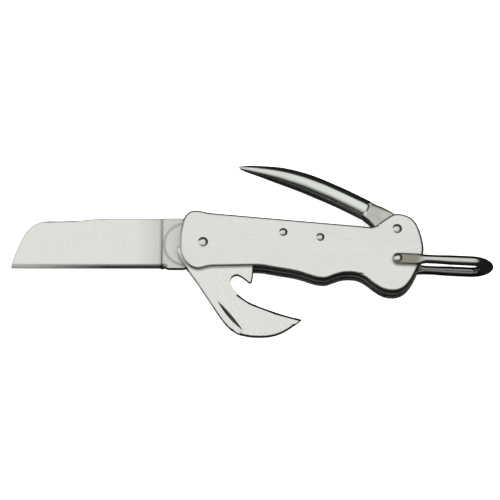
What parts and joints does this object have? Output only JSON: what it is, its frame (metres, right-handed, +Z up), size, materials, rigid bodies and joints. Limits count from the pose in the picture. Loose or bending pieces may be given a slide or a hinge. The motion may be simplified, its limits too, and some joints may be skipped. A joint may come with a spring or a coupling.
{
  "type": "rigging knife",
  "caption": "All-steel sailor's folding knife with a sheepsfoot blade, tin and bottle opener, marlinspike and a swinging lanyard bail, posed with its tools out.",
  "frame": {"origin": "under the middle of the whole knife with its tools at rest, on the surface it lies on", "axes": "+X from the blade's point to the lanyard bail, +Y from the cutting edges to the handle's back, +Z up out of the front scale, along the pivots"},
  "size_m": [0.2299, 0.0868, 0.0216],
  "materials": {
    "scale_steel": "satin stainless steel plate",
    "liner_steel": "plain rolled stainless steel",
    "spring_steel": "ground spring steel",
    "blade_steel": "fine satin ground stainless steel",
    "spike_steel": "polished stainless steel",
    "bail_steel": "polished stainless wire",
    "pin_steel": "bright domed pin heads"
  },
  "bodies": {
    "handle": {"front_scale": "scale_steel", "rear_scale": "scale_steel", "centre_liner": "liner_steel", "blade_backspring": "spring_steel", "opener_backspring": "spring_steel", "main_pivot_pin": "pin_steel", "front_spring_rivet": "pin_steel", "rear_spring_rivet": "pin_steel", "spike_pivot_pin": "pin_steel", "bail_pin": "pin_steel", "upper_bail_spacer": "liner_steel", "lower_bail_spacer": "liner_steel"},
    "main_blade": {"main_blade": "blade_steel"},
    "tin_opener": {"tin_opener": "blade_steel"},
    "marlinspike": {"marlinspike": "spike_steel"},
    "bail": {"bail": "bail_steel"}
  },
  "joints": [
    {"name": "blade_pivot", "type": "hinge", "parent": "handle", "child": "main_blade", "pos_m": [-0.02332, 0.00288, 0.0108], "axis": [0, 0, 1], "range_deg": [0, 164.5]},
    {"name": "opener_pivot", "type": "hinge", "parent": "handle", "child": "tin_opener", "pos_m": [-0.02332, 0.00288, 0.0108], "axis": [0, 0, 1], "range_deg": [-122, 37]},
    {"name": "spike_pivot", "type": "hinge", "parent": "handle", "child": "marlinspike", "pos_m": [0.06908, 0.00948, 0.0108], "axis": [0, 0, 1], "range_deg": [-155, 17.5]},
    {"name": "bail_pivot", "type": "hinge", "parent": "handle", "child": "bail", "pos_m": [0.06928, -0.00582, 0.0108], "axis": [0, 0, 1], "range_deg": [-137, 75.5]}
  ]
}
